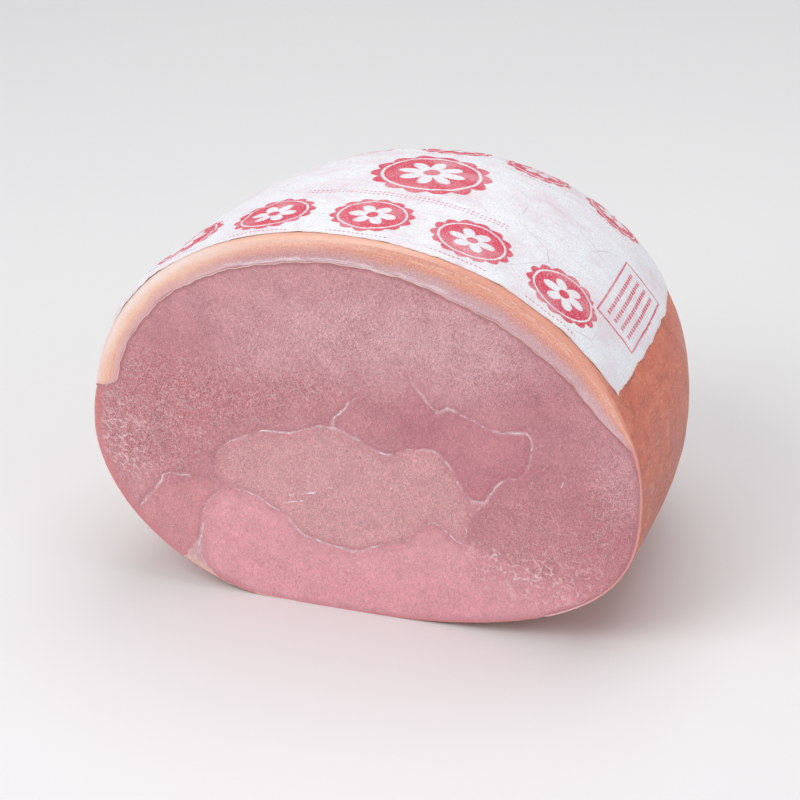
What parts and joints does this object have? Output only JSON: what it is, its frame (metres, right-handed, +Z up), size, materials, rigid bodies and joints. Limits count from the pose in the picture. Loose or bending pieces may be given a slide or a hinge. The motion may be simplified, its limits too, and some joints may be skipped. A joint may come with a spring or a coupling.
{
  "type": "cooked ham half with rind and paper wrap",
  "caption": "Half of a boneless cooked ham with a flat cut face, a fat cap with rind that closes over the far end, and a thin printed paper sheet laid over the top.",
  "frame": {"origin": "middle of the bounding box on the table, z = 0", "axes": "+X to the right seen from the cut face, +Y from the cut face to the closed end, +Z up"},
  "size_m": [0.228, 0.184, 0.1622],
  "materials": {
    "lean_meat": "moist pink cooked meat, softly glossy",
    "fat_cap": "smooth tan rind over cream fat, waxy",
    "paper_wrap": null
  },
  "bodies": {
    "root": {"lean_meat": "lean_meat", "fat_cap": "fat_cap", "paper_wrap": "paper_wrap"}
  },
  "joints": []
}
